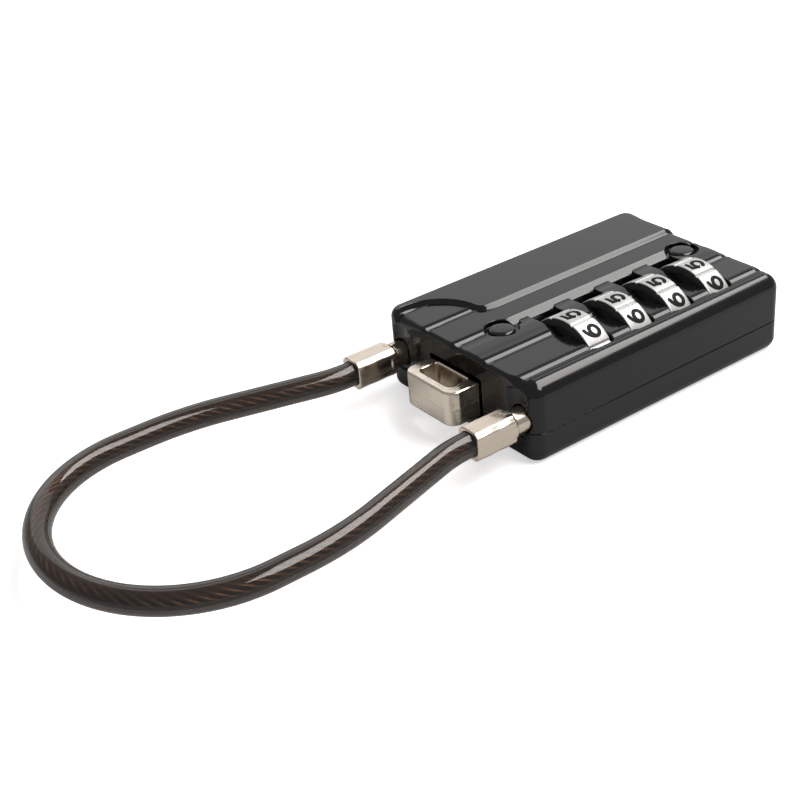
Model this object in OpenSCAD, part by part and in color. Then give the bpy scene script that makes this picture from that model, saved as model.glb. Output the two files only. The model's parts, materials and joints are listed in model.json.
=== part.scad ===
// Combination cable lock: a flat two-part case with four number wheels, a release
// slider that ends in an anchor eye, and a loop of sheathed wire rope.
// Millimetres. Origin: centre of the case's underside. +Z up, -X towards the cable,
// -Y towards the wheels. At rest the code is dialled, the plug is home and the eye is out.

/* [Case] */
// Length of the case along X
case_length = 55; // [55:0.5:58]
// Width of the case along Y
case_width = 36.8; // [36.8:0.2:38]
// Height of the case's smooth panel
case_height = 14.7; // [14.6:0.1:15.2]
// Height of the ribbed area
rib_height = 14; // [13.9:0.1:14.1]
// Height of the split between the lower and upper case
split_height = 5.4; // [5.3:0.05:5.4]
// Corner radius seen from above
corner_radius = 2.4; // [2:0.1:2.8]

/* [Number wheels] */
// Radius of a number wheel
wheel_radius = 7.85; // [7.6:0.05:7.85]
// Width of a wheel
wheel_width = 4.4; // [4.2:0.05:4.4]
// Distance between neighbouring wheels
wheel_pitch = 8.85; // [8.82:0.01:8.88]

/* [Release slider] */
// Width of the anchor eye
eye_width = 12.2; // [11.6:0.1:12.6]
// How far the eye stands out of the case
eye_reach = 5.9; // [5.6:0.1:6.5]
// Travel of the slider into the case
slider_travel = 3; // [2.8:0.1:3]

/* [Cable] */
// Outside diameter of the sheathed cable
cable_diameter = 4.1; // [3.8:0.1:4.1]
// Diameter of the wire rope inside it
rope_diameter = 2.5; // [2:0.1:2.6]
// Straight length on each side of the loop
loop_side = 15; // [15:5:30]

/* [Hidden] */
$fn = 64;
eps = 0.01;
far = 60;
gap = 0.3;

// case
hl = case_length / 2;
hw = case_width / 2;
top_fillet = 2.6;
back_fillet = 1.8;
end_fillet = 2;
base_fillet = 1.9;
floor_z = 1.2;
roof_z = 11.6;
wall = 1.6;
seam = 0.2;
panel_front = 6.6;
panel_slope = 1.4;
lobe_x = -25.5;
lobe_y = 7.4;
lobe_r = 8.75;
lobe_draft = 0.65;
groove_ys = [16.4, 9, 1.5, -6, -13.5];
groove_w = 1.35;
groove_d = 0.45;
riser = 0.12;
wide_slope_d = 0.78;

// wheels
axis_y = -8.3;
axis_z = 8.1;
first_x = -10.05;
wheel_count = 4;
digit_count = 10;
step_deg = 360 / digit_count;
play = [-4.3, 1.9, 4.4, 5.3];
seam_d = 0.25;
seam_w = 0.4;
dish_reach = 4.25;
dish_y = -8.5;
dish_tilt = 32;
dish_sides = [7.35, 3.3, -10.65];
window_y = [-15.4, -0.1];
window_floor = 11.6;
window_corner = 1.2;
slot_r = wheel_radius + 0.38;
slot_w = wheel_width + 2 * gap;
hub_r = 4.7;
star_r = 4.2;
star_len = 1.35;
notch_r = 0.55;
chamber_r = 2.8;
flange = 1;

// spindle
shaft_r = 1.6;
fin_r = 2.6;
fin_len = 0.9;
fin_w = 1;
gate_w = 1.7;
fin_back = slider_travel / 2;
shaft_from = -21.3;
shaft_to = 20.9;
spigot_to = 22.2;
collar_x = -17.2;

// rivets
rivet_y = -0.5;
rivet_xs = [-18.3, 22.3];
rivet_r = 2.2;
ring_r = 2.85;
shank_r = 1.3;
head_seat = 0.8;
tube_r = 1.9;

// cable ends
end_y = 15;
end_z = 7.2;
plug_r = 1.9;
plug_tip = -13.8;
neck_r = 2.15;
ferrule_from = -hl - 10.4;
flats_to = -hl - 2.4;
neck_to = -25.2;
flat_w = 4.6;
flat_h = 4.9;
flat_cut = 0.75;
tang_r = 1.2;
tang_from = -30.6;
lock_groove = [-17.6, -15.6];
groove_core = 0.7;
anchor_from = -25.2;
anchor_to = -19.6;
flange_x = -22;
flange_w = 1.1;
flange_r = 2.7;

// release slider
eye_y = 0.3;
eye_z0 = 3.9;
eye_z1 = 9.9;
slot_under = 0.9;
slot_over = 0.5;
eye_front = 1.7;
eye_rail = 0.65;
eye_side = 2.2;
eye_corner = 2;
eye_in = -hl + 0.1;
eye_out = -hl - eye_reach;
tongue_z0 = 5.8;
tongue_z1 = 8.2;
tongue_w = 8.4;
tongue_to = -16.4;
yoke_x0 = -20;
yoke_r = 2.5;
yoke_z = [6.5, 9.6];
post_r = 0.5;
post = [-18.6, -8.3];

// locking pawl
pivot = [-22.6, -10.2];
pivot_r = 0.8;
pawl_z0 = 3.8;
pawl_z1 = 5.5;
nose_z1 = 8.9;

// cable loop: each side leaves its sleeve, flares outwards on a 7-24-25 slope,
// bends back parallel to X and joins the other round a half circle
mouth_r = 20;
side_r = 48;
flare = atan2(7, 24);
slope = [24, 7] / 25;
last_run = 4.4;
cable_r = cable_diameter / 2;
rope_r = rope_diameter / 2;
mouth_u = -ferrule_from;
bend1 = [mouth_u + mouth_r * slope[1], end_y + mouth_r * (1 - slope[0])];
bend2 = bend1 + loop_side * slope;
bend3 = bend2 + side_r * [slope[1], 1 - slope[0]];

case_paint = [0.09, 0.09, 0.095];
zinc = [0.84, 0.79, 0.72];
silver = [0.86, 0.86, 0.87];
brass = [0.72, 0.58, 0.3];
steel = [0.6, 0.61, 0.63];
dark = [0.2, 0.19, 0.18];

function wheel_x(i) = first_x + i * wheel_pitch;

// a box given by its two corners
module box(a, b) {
    translate(a) cube(b - a);
}

// a cylinder along +X
module rod(x0, x1, r) {
    translate([x0, 0, 0]) rotate([0, 90, 0]) cylinder(h = x1 - x0, r = r);
}

// a rectangle whose four corners are rounded by radii
// given from the low-x low-y corner, anticlockwise
module rounded(x0, x1, y0, y1, r) {
    corners = [[x0, y0, 1, 1], [x1, y0, -1, 1], [x1, y1, -1, -1], [x0, y1, 1, -1]];
    difference() {
        translate([x0, y0]) square([x1 - x0, y1 - y0]);
        for (k = [0 : 3]) {
            c = corners[k];
            translate([c[0], c[1]]) difference() {
                translate([c[2] > 0 ? -1 : -r[k], c[3] > 0 ? -1 : -r[k]]) square(r[k] + 1);
                translate([c[2] * r[k], c[3] * r[k]]) circle(r[k]);
            }
        }
    }
}

// extrudes a YZ outline along X
module along_x(x0, x1) {
    translate([x0, 0, 0]) rotate([90, 0, 90]) linear_extrude(x1 - x0) children();
}

// extrudes an XZ outline along Y
module along_y(y0, y1) {
    translate([0, y1, 0]) rotate([90, 0, 0]) linear_extrude(y1 - y0) children();
}

// the outside of the whole case; inset shrinks its plan
module case_block(inset = 0) {
    intersection() {
        linear_extrude(case_height) rounded(-hl + inset, hl - inset, -hw + inset, hw - inset,
            [corner_radius, corner_radius, corner_radius, corner_radius]);
        along_y(-hw, hw) rounded(-hl, hl, 0, case_height,
            [base_fillet, base_fillet, end_fillet, end_fillet]);
        along_x(-hl, hl) rounded(-hw, hw, 0, case_height,
            [base_fillet, base_fillet, back_fillet, top_fillet]);
    }
}

// the area lowered below the smooth panel: a long strip with a sloped step
// and a round lobe near the cable end
module lowered_area() {
    along_x(-far, far) polygon([[-far, rib_height], [panel_front - panel_slope, rib_height],
        [panel_front, case_height + eps], [-far, case_height + eps]]);
    translate([lobe_x, lobe_y, rib_height])
        cylinder(h = case_height - rib_height + eps, r1 = lobe_r - lobe_draft, r2 = lobe_r);
}

// one groove: a shallow slope that faces the front, then a short riser
module groove(y, x0, x1) {
    along_x(x0, x1) polygon([[y, rib_height + eps], [y - groove_w, rib_height - groove_d],
        [y - groove_w - riser, rib_height + eps]]);
}

module grooves() {
    intersection() {
        groove(groove_ys[0], -far, lobe_x + lobe_r);
        translate([lobe_x, lobe_y, 0]) cylinder(h = far, r = lobe_r - lobe_draft - eps);
    }
    groove(groove_ys[1], -far, lobe_x + lobe_r - lobe_draft);
    groove(groove_ys[2], -far, rivet_xs[0] - ring_r);
    groove(groove_ys[2], rivet_xs[1] + ring_r, far);
    groove(groove_ys[3], -far, far);
    groove(groove_ys[4], -far, far);
    along_x(rivet_xs[0] + ring_r + 0.4, rivet_xs[1] - ring_r - 0.2)
        polygon([[groove_ys[2], rib_height + eps], [groove_ys[2] - groove_w, rib_height - wide_slope_d],
            [groove_ys[2] - groove_w - riser, rib_height + eps]]);
}

// the finger dish on both sides of a wheel: a tilted V-shaped valley
// that runs down to the wheel from a point on the top
module finger_dish(x) {
    for (s = [-1, 1])
        translate([x + s * dish_reach, dish_y, rib_height]) rotate([0, -s * dish_tilt, 0])
            scale([-s, 1, 1]) along_x(-0.3, 2.4)
                polygon([[0, 0], [dish_sides[0], dish_sides[1]], [dish_sides[2], dish_sides[1]]]);
}

// the window over a wheel, cut square behind it and rounded in front
module wheel_window(x) {
    translate([0, 0, window_floor]) linear_extrude(far)
        rounded(x - slot_w / 2, x + slot_w / 2, window_y[0], window_y[1],
            [window_corner, window_corner, gap, gap]);
}

module wheel_slots(z0, z1) {
    for (i = [0 : wheel_count - 1]) {
        intersection() {
            translate([wheel_x(i), axis_y, axis_z]) rod(-slot_w / 2, slot_w / 2, slot_r);
            box([-hl, -hw, z0], [hl, hw, z1]);
        }
    }
}

// room for the hubs' notched ends and the spindle
module spindle_bores() {
    translate([0, axis_y, axis_z]) {
        rod(-14, shaft_to, shaft_r + 0.12);
        for (i = [0 : wheel_count - 1])
            rod(wheel_x(i), wheel_x(i) + wheel_width / 2 + star_len + gap, star_r + gap);
    }
}

// passages for the plug and the anchored cable end
module cable_bores() {
    for (s = [-1, 1]) {
        translate([0, s * end_y, end_z]) {
            rod(-hl - 1, -25, neck_r + 0.2);
            translate([-hl - 1, 0, 0]) rod(0, 1.5, neck_r + 1.05);
            rod(-26, s < 0 ? -13.2 : anchor_to + 0.1, plug_r + 0.08);
        }
    }
    translate([0, end_y, end_z])
        rod(flange_x - gap / 3, flange_x + flange_w + gap / 3, flange_r + 0.1);
}

// hollow rooms inside the case between two heights
module rooms(z0, z1) {
    box([-hl + wall, -12, z0], [-13.3, 12, z1]);
    box([-21.4, -16.6, z0], [-13.3, -11, z1]);
    box([-18.8, 1, z0], [hl - wall, hw - wall, z1]);
    box([20.7, -11.4, z0], [hl - wall, -5, z1]);
}

module rivet_tubes(z0, z1) {
    for (x = rivet_xs) translate([x, rivet_y, z0]) cylinder(h = z1 - z0, r = tube_r);
}

module rivet_holes() {
    for (x = rivet_xs) translate([x, rivet_y, 0]) {
        translate([0, 0, -1]) cylinder(h = far, r = shank_r + 0.05);
        translate([0, 0, rib_height - head_seat]) cylinder(h = 4, r = ring_r);
        translate([0, 0, -1]) cylinder(h = 1.95, r = rivet_r + 0.15);
    }
}

// the opening in the end wall for the eye
module eye_slot() {
    half = eye_width / 2 + 0.2;
    along_x(-hl - 1, -hl + wall + 1)
        rounded(eye_y - half, eye_y + half, eye_z0 - slot_under, eye_z1 + slot_over,
            [0.6, 0.6, 0.6, 0.6]);
}

module upper_case() {
    color(case_paint) difference() {
        union() {
            difference() {
                intersection() {
                    case_block();
                    box([-far, -far, split_height], [far, far, far]);
                }
                rooms(split_height - 1, roof_z);
            }
            rivet_tubes(split_height, roof_z);
            box([-25.6, 11.6, split_height], [-19.4, 16.6, roof_z]);
        }
        lowered_area();
        grooves();
        for (i = [0 : wheel_count - 1]) {
            finger_dish(wheel_x(i));
            wheel_window(wheel_x(i));
        }
        wheel_slots(split_height - 1, far);
        spindle_bores();
        cable_bores();
        box([-25.8, end_y - plug_r - 0.08, split_height - 1], [anchor_to + 0.1, end_y + plug_r + 0.08, end_z]);
        box([flange_x - gap / 3, end_y - flange_r - 0.1, split_height - 1],
            [flange_x + flange_w + gap / 3, end_y + flange_r + 0.1, end_z]);
        rivet_holes();
        eye_slot();
    }
}

module lower_case() {
    color(case_paint) difference() {
        union() {
            difference() {
                union() {
                    intersection() {
                        case_block();
                        box([-far, -far, 0], [far, far, split_height - 0.3]);
                    }
                    intersection() {
                        case_block(seam);
                        box([-far, -far, split_height - 0.3 - eps], [far, far, split_height]);
                    }
                }
                rooms(floor_z, far);
            }
            rivet_tubes(floor_z - eps, split_height);
            translate([pivot[0], pivot[1], floor_z - eps]) cylinder(h = pawl_z0 - floor_z - 0.06, r = 1.7);
            box([-25.6, 11.6, floor_z - eps], [-19.4, 16.6, split_height]);
        }
        wheel_slots(-1, far);
        spindle_bores();
        cable_bores();
        rivet_holes();
        eye_slot();
        finger_channels();
        translate([pivot[0], pivot[1], floor_z - 0.5]) cylinder(h = 4, r = pivot_r);
    }
}

// slots in the lower case under the detent fingers
module finger_channels() {
    for (i = [0 : wheel_count - 1]) {
        x = wheel_x(i) + wheel_width / 2 + star_len / 2;
        box([x - 0.8, -12, floor_z], [x + 0.8, 3, far]);
    }
}

module case_rivets() {
    color(case_paint) for (x = rivet_xs) {
        translate([x, rivet_y, 0.25]) {
            cylinder(h = 0.7, r = rivet_r - 0.1);
            cylinder(h = rib_height - 1, r = shank_r);
        }
        translate([x, rivet_y, rib_height - head_seat]) intersection() {
            cylinder(h = 1, r = rivet_r);
            translate([0, 0, 0.85 - 12]) sphere(r = 12, $fn = 96);
        }
    }
}

// a wheel: a plain band with a fine notch between its ten numbers
module number_wheel(i) {
    color(silver) translate([wheel_x(i), axis_y, axis_z]) rotate([play[i], 0, 0]) difference() {
        rod(-wheel_width / 2, wheel_width / 2, wheel_radius);
        rod(-wheel_width, wheel_width, hub_r);
        for (s = [-1, 1]) scale([s, 1, 1])
            rod(wheel_width / 2 - 0.5, wheel_width, wheel_radius - 1.5);
        for (k = [0 : digit_count - 1]) rotate([(k + 0.5) * step_deg, 0, 0])
            translate([0, 0, wheel_radius]) along_x(-wheel_width, wheel_width)
                polygon([[0, -seam_d], [seam_w, seam_d], [-seam_w, seam_d]]);
    }
}

// a hub: sleeve with a gated flange inside and a notched end for the detent finger
module wheel_hub(i) {
    color(brass) translate([wheel_x(i), axis_y, axis_z]) difference() {
        union() {
            rod(-wheel_width / 2 + 0.2, wheel_width / 2 - 0.2, hub_r);
            rod(0, wheel_width / 2 + star_len, star_r);
        }
        rod(-wheel_width, -flange / 2, chamber_r);
        rod(flange / 2, wheel_width, chamber_r);
        rod(-wheel_width, wheel_width, shaft_r + 0.06);
        box([-wheel_width, -gate_w / 2, 0], [wheel_width, gate_w / 2, chamber_r]);
        for (k = [0 : digit_count - 1]) rotate([k * step_deg, 0, 0])
            translate([0, 0, -star_r - 0.25]) rod(wheel_width / 2, wheel_width * 2, notch_r);
    }
}

// the spindle: a shaft with one fin for each wheel
module spindle() {
    color(steel) translate([0, axis_y, axis_z]) difference() {
        union() {
            rod(shaft_from, shaft_to, shaft_r);
            rod(shaft_to - 1, spigot_to, 0.8);
            rod(collar_x, collar_x + 0.5, 2.3);
            for (i = [0 : wheel_count - 1]) intersection() {
                rod(wheel_x(i) - fin_back - fin_len / 2, wheel_x(i) - fin_back + fin_len / 2, fin_r);
                box([-far, -fin_w / 2, 0], [far, fin_w / 2, far]);
            }
        }
        difference() {
            rod(yoke_x0 - 0.8, yoke_x0 - 0.1, shaft_r + 1);
            rod(yoke_x0 - 2, yoke_x0 + 1, 1.1);
        }
    }
}

// an open retaining ring in the spindle's groove
module spindle_clip() {
    color(steel) translate([0, axis_y, axis_z]) difference() {
        rod(yoke_x0 - 0.75, yoke_x0 - 0.15, 2.4);
        rod(yoke_x0 - 2, yoke_x0 + 1, 1.12);
        box([-far, -0.9, -far], [far, 0.9, 0]);
    }
}

// the slider: anchor eye, tongue forked round the rivet, and the yoke
// that carries the spindle and drives the pawl
module release_slider() {
    y0 = eye_y - eye_width / 2;
    y1 = eye_y + eye_width / 2;
    color(zinc) difference() {
        union() {
            translate([0, 0, eye_z0]) linear_extrude(eye_z1 - eye_z0)
                rounded(eye_out, eye_in, y0, y1, [eye_corner, 0.3, 0.3, eye_corner]);
            box([eye_in - 0.3, rivet_y - tongue_w / 2, tongue_z0],
                [tongue_to, rivet_y + tongue_w / 2, tongue_z1]);
            box([yoke_x0, axis_y, yoke_z[0]], [collar_x, rivet_y, yoke_z[1]]);
            translate([0, axis_y, axis_z]) rod(yoke_x0, collar_x, yoke_r);
            translate([post[0], post[1], pawl_z0 + 0.2]) cylinder(h = 3, r = post_r);
        }
        translate([0, 0, eye_z0 - 1]) linear_extrude(eye_z1 - eye_z0 + 2)
            rounded(eye_out + eye_front, eye_in - eye_rail, y0 + eye_side, y1 - eye_side,
                [1, 0.5, 0.5, 1]);
        translate([0, axis_y, axis_z]) rod(yoke_x0 - 1, collar_x + 1, shaft_r);
        rivet_slot();
    }
}

// clearance for the near rivet's tube as the slider moves
module rivet_slot() {
    r = tube_r + gap;
    translate([rivet_xs[0], rivet_y, 0]) {
        cylinder(h = far, r = r);
        translate([-slider_travel, 0, 0]) cylinder(h = far, r = r);
        translate([-slider_travel, -r, 0]) cube([slider_travel, 2 * r, far]);
    }
}

// a coil spring with ground ends, from x0 to x1: the wire's level section
// is twisted along the axis
module coil(x0, x1, turns, r, wire) {
    lead = (x1 - x0) / turns;
    section = [for (t = [0 : 20 : 340]) let (swing = wire * sin(t) / lead * 360)
        (r + wire * cos(t)) * [cos(swing), sin(swing)]];
    translate([x0, 0, 0]) rotate([0, 90, 0])
        linear_extrude(height = x1 - x0, twist = -360 * turns, slices = 28 * turns) polygon(section);
}

module slider_spring() {
    color(steel) translate([0, axis_y, axis_z]) coil(shaft_to + 0.02, hl - wall - 0.02, 3, 1.25, 0.17);
}

// a comb of leaf fingers; each tip rests in a hub's notch
module detent_spring() {
    tip_z = axis_z - star_r - 0.02;
    rise = tip_z - floor_z - 0.45;
    run = 9.6;
    color(steel) {
        box([wheel_x(0), 1.2, floor_z + 0.02], [wheel_x(3) + 3.6, 2.5, floor_z + 0.32]);
        for (i = [0 : wheel_count - 1]) {
            x = wheel_x(i) + wheel_width / 2 + star_len / 2;
            translate([x - 0.5, 1.4, floor_z + 0.17]) rotate([atan(rise / run), 0, 180])
                translate([-1, 0, -0.15]) cube([1, run + 0.8, 0.3]);
            translate([x - 0.5, axis_y, tip_z - 0.03]) rod(0, 1, 0.26);
        }
    }
}

// the pawl: a flat lever on a pin with a drive slot and a raised nose
module locking_pawl() {
    color(steel) translate([pivot[0], pivot[1], 0]) difference() {
        union() {
            translate([0, 0, pawl_z0]) linear_extrude(pawl_z1 - pawl_z0) union() {
                circle(1.7);
                polygon([[-0.4, -1.5], [7.2, -1.5], [8.3, 2.2], [8.3, 4.6], [5.6, 4.8], [-0.3, 1.6]]);
            }
            box([6, -2.6, pawl_z0], [7.2, -0.6, nose_z1]);
        }
        translate([0, 0, -1]) cylinder(h = far, r = pivot_r + 0.06);
        translate([4, 1.9, -1]) rotate(30) translate([-0.85, -0.85, 0]) cube([4.5, 1.7, far]);
    }
}

module pawl_pin() {
    color(steel) translate([pivot[0], pivot[1], floor_z - 0.5]) {
        cylinder(h = pawl_z1 - floor_z + 0.6, r = pivot_r);
        translate([0, 0, pawl_z1 - floor_z + 0.6]) cylinder(h = 0.6, r = 1.4);
    }
}

// the removable plug: pin with a locking groove, a pointed tip and a tang
module locking_plug() {
    color(steel) translate([0, -end_y, end_z]) difference() {
        union() {
            rod(neck_to, plug_tip - 0.9, plug_r);
            translate([plug_tip - 0.9, 0, 0]) rotate([0, 90, 0]) cylinder(h = 0.9, r1 = plug_r, r2 = plug_r - 0.8);
            rod(tang_from, neck_to + 1, tang_r);
        }
        difference() {
            rod(lock_groove[0], lock_groove[1], plug_r + 1);
            rod(lock_groove[0] - 1, lock_groove[1] + 1, groove_core);
        }
    }
}

// a crimped sleeve: chamfered flats outside, a round neck towards the case
module ferrule(y) {
    w = flat_w / 2;
    h = flat_h / 2;
    c = flat_cut;
    color(zinc) translate([0, y, end_z]) difference() {
        union() {
            along_x(ferrule_from, flats_to) polygon([[-w + c, -h], [w - c, -h], [w, -h + c], [w, h - c],
                [w - c, h], [-w + c, h], [-w, h - c], [-w, -h + c]]);
            rod(flats_to - 1, neck_to, neck_r);
        }
        rod(ferrule_from - 1, ferrule_from + 3, cable_r);
        rod(ferrule_from, tang_from - 0.3, rope_r);
        rod(tang_from - 1, 0, tang_r);
    }
}

module plug_ferrule() {
    ferrule(-end_y);
}

module fixed_ferrule() {
    ferrule(end_y);
}

// the anchored end: pin with a flange trapped in the case
module cable_anchor() {
    color(steel) translate([0, end_y, end_z]) {
        rod(anchor_from, anchor_to, plug_r);
        rod(flange_x, flange_x + flange_w, flange_r);
        rod(tang_from, anchor_from + 1, tang_r);
    }
}

// one side of the cable's route, from its sleeve to the round end, on the +Y side;
// inner 0 makes it solid, and it runs on into the sleeve by run_in
module side_route(outer, inner, run_in) {
    translate([-mouth_u, end_y, end_z]) rotate([0, 90, 0]) linear_extrude(run_in) section(outer, inner);
    translate([-mouth_u, end_y + mouth_r, end_z]) rotate(-90) bend(mouth_r, outer, inner);
    translate([-bend1[0], bend1[1], end_z]) rotate(-flare) rotate([0, -90, 0])
        linear_extrude(loop_side) section(outer, inner);
    translate([-bend3[0], bend3[1] - side_r, end_z]) rotate(90) bend(side_r, outer, inner);
    translate([-bend3[0] - last_run, bend3[1], end_z]) rotate([0, 90, 0])
        linear_extrude(last_run) section(outer, inner);
}

// a bend of radius r through the flare angle, clockwise from +X, cut from a whole ring
module bend(r, outer, inner) {
    intersection() {
        rotate_extrude() translate([r, 0]) section(outer, inner);
        translate([0, 0, -far]) linear_extrude(2 * far) polygon([[0, 0], [96, 0], [96, -28]]);
    }
}

module section(outer, inner) {
    difference() {
        circle(outer);
        if (inner > 0) circle(inner);
    }
}

module full_route(outer, inner, run_in) {
    side_route(outer, inner, run_in);
    translate([0, 0, end_z]) rotate([180, 0, 0]) translate([0, 0, -end_z]) side_route(outer, inner, run_in);
    translate([-bend3[0] - last_run, 0, end_z]) rotate(90)
        rotate_extrude(angle = 180) translate([bend3[1], 0]) section(outer, inner);
}

module wire_rope() {
    color(brass) full_route(rope_r, 0, mouth_u + tang_from - 0.3);
}

module cable_jacket() {
    color(dark) full_route(cable_r, rope_r, 2.9);
}

upper_case();
lower_case();
case_rivets();
number_wheel(0);  // number_wheel_1
number_wheel(1);  // number_wheel_2
number_wheel(2);  // number_wheel_3
number_wheel(3);  // number_wheel_4
wheel_hub(0);  // wheel_hub_1
wheel_hub(1);  // wheel_hub_2
wheel_hub(2);  // wheel_hub_3
wheel_hub(3);  // wheel_hub_4
spindle();
spindle_clip();
release_slider();
slider_spring();
detent_spring();
locking_pawl();
pawl_pin();
locking_plug();
plug_ferrule();
cable_anchor();
fixed_ferrule();
wire_rope();
cable_jacket();
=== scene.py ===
"""Combination cable lock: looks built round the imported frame.

Lengths are millimetres in the code and become metres when a mesh is made.
The cast pieces are described by distance functions (negative inside), so that
every edge is rounded and every fillet runs out as it does on a casting.
"""

import json
import math

import bmesh
import bpy
import numpy as np
from mathutils import Matrix, Vector


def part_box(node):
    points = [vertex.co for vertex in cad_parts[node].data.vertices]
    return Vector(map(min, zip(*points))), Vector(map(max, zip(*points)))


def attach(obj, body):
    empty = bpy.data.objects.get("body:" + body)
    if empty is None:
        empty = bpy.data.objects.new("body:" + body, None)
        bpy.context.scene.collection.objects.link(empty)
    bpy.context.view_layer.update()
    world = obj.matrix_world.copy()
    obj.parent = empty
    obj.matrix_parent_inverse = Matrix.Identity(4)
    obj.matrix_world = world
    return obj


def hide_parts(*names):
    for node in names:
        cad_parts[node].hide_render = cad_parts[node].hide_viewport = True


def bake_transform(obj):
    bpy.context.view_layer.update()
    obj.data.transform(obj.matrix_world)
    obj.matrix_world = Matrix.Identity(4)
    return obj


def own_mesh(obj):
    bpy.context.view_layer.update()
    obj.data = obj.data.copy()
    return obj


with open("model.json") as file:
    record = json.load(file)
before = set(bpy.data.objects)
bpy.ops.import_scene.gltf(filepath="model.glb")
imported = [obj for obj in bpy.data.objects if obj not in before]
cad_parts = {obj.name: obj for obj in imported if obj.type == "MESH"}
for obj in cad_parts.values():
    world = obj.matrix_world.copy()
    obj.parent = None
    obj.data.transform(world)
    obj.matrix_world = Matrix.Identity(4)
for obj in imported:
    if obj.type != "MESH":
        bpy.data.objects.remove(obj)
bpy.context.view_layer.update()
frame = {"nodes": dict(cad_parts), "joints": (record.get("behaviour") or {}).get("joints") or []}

MM = 0.001


# ---------------------------------------------------------------- the frame's sizes

def corners(node):
    low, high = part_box(node)
    return np.array(low) / MM, np.array(high) / MM


def joint_point(name):
    found = [j for j in frame["joints"] if j["name"] == name][0]
    return np.array(found["pos_m"]) / MM


upper_high = corners("upper_case")[1]
rivet_low, rivet_high = corners("case_rivets")
slider_low, slider_high = corners("release_slider")
ferrule_low, ferrule_high = corners("plug_ferrule")
wheel_low, wheel_high = corners("number_wheel_1")
rope_low, rope_high = corners("wire_rope")
jacket_low, jacket_high = corners("cable_jacket")
pawl_low = corners("locking_pawl")[0]

# the case: heights of the smooth panel, the split between the halves and the ribs
HALF_LENGTH, HALF_WIDTH, PANEL = upper_high
SPLIT = 5.4
RIB = rivet_high[2] - 0.05
WALL = 1.6
ROOF = 11.6
FLOOR = 1.2

# the number wheels, their slots and windows; TURN is each wheel's turn at rest, in degrees
WHEEL_X = [joint_point(f"wheel_{i + 1}_turn")[0] for i in range(4)]
AXIS_Y, AXIS_Z = joint_point("wheel_1_turn")[1:]
WHEEL_HALF = (wheel_high[0] - wheel_low[0]) / 2
WHEEL_R = 7.85
SLOT_R = WHEEL_R + 0.38
SLOT_HALF = WHEEL_HALF + 0.3
WINDOW = (-15.4, -0.1)
WINDOW_MIDDLE = -8
TURN = (-4.3, 1.9, 4.4, 5.3)
HUB_END = WHEEL_HALF + 1.35

# the rivets, the ring grooves round their heads and the tubes they pass through
RIVET_R = 2.2
SHANK_R = 1.3
RING_R = 2.85
RING_DEPTH = 0.8
TUBE_R = 1.9
RIVET_X = (rivet_low[0] + RIVET_R, rivet_high[0] - RIVET_R)
RIVET_Y = (rivet_low[1] + rivet_high[1]) / 2

# the two cable ends, the pawl's pivot and the eye
END_Y = -(ferrule_low[1] + ferrule_high[1]) / 2
END_Z = (ferrule_low[2] + ferrule_high[2]) / 2
CABLE_R = (jacket_high[2] - jacket_low[2]) / 2
ROPE_R = (rope_high[2] - rope_low[2]) / 2
PIVOT = joint_point("pawl_swing")
EYE_Y = 0.3
EYE_Z = (3.9, 9.9)


# ---------------------------------------------------------------- distance tools

def rmax(a, b, r):
    """Common part of two solids, with their shared edge rounded to radius r."""
    return np.minimum(np.maximum(a, b), -r) + np.hypot(np.maximum(a + r, 0), np.maximum(b + r, 0))


def rmin(a, b, r):
    """Both solids together, with a fillet of radius r between them."""
    return -rmax(-a, -b, r)


def ramp(value, start, end):
    t = np.clip((value - start) / (end - start), 0, 1)
    return t * t * (3 - 2 * t)


def plan_box(x, y, low, high, r_low, r_high):
    """Rectangle seen from above; r_low rounds its low-x corners and r_high the others."""
    cx, cy = (low[0] + high[0]) / 2, (low[1] + high[1]) / 2
    r = np.where(x < cx, r_low, r_high)
    qx = np.abs(x - cx) - (high[0] - low[0]) / 2 + r
    qy = np.abs(y - cy) - (high[1] - low[1]) / 2 + r
    return np.minimum(np.maximum(qx, qy), 0) + np.hypot(np.maximum(qx, 0), np.maximum(qy, 0)) - r


def slab(value, low, high):
    return np.abs(value - (low + high) / 2) - (high - low) / 2


def block(x, y, z, low, high, r=0.2):
    flat = rmax(slab(x, low[0], high[0]), slab(y, low[1], high[1]), r)
    return rmax(flat, slab(z, low[2], high[2]), r)


def rod_x(x, y, z, centre, low, high, radius, r=0.05):
    return rmax(np.hypot(y - centre[0], z - centre[1]) - radius, slab(x, low, high), r)


def post_z(x, y, z, centre, low, high, radius, r=0.05):
    return rmax(np.hypot(x - centre[0], y - centre[1]) - radius, slab(z, low, high), r)


# ---------------------------------------------------------------- meshes from distances

def gradient(shape, points, reach):
    out = np.empty_like(points)
    for axis in range(3):
        ahead, behind = points.copy(), points.copy()
        ahead[:, axis] += reach
        behind[:, axis] -= reach
        out[:, axis] = (shape(*ahead.T) - shape(*behind.T)) / (2 * reach)
    return out


def settle(shape, points, step, rounds):
    """Moves points onto the surface along its gradient."""
    for _ in range(rounds):
        slope = gradient(shape, points, 0.02)
        length2 = np.maximum((slope * slope).sum(1), 0.04)
        move = -(shape(*points.T) / length2)[:, None] * slope
        size = np.maximum(np.linalg.norm(move, axis=1), 1e-9)
        points += move * np.minimum(1, 0.6 * step / size)[:, None]
    return points


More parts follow.
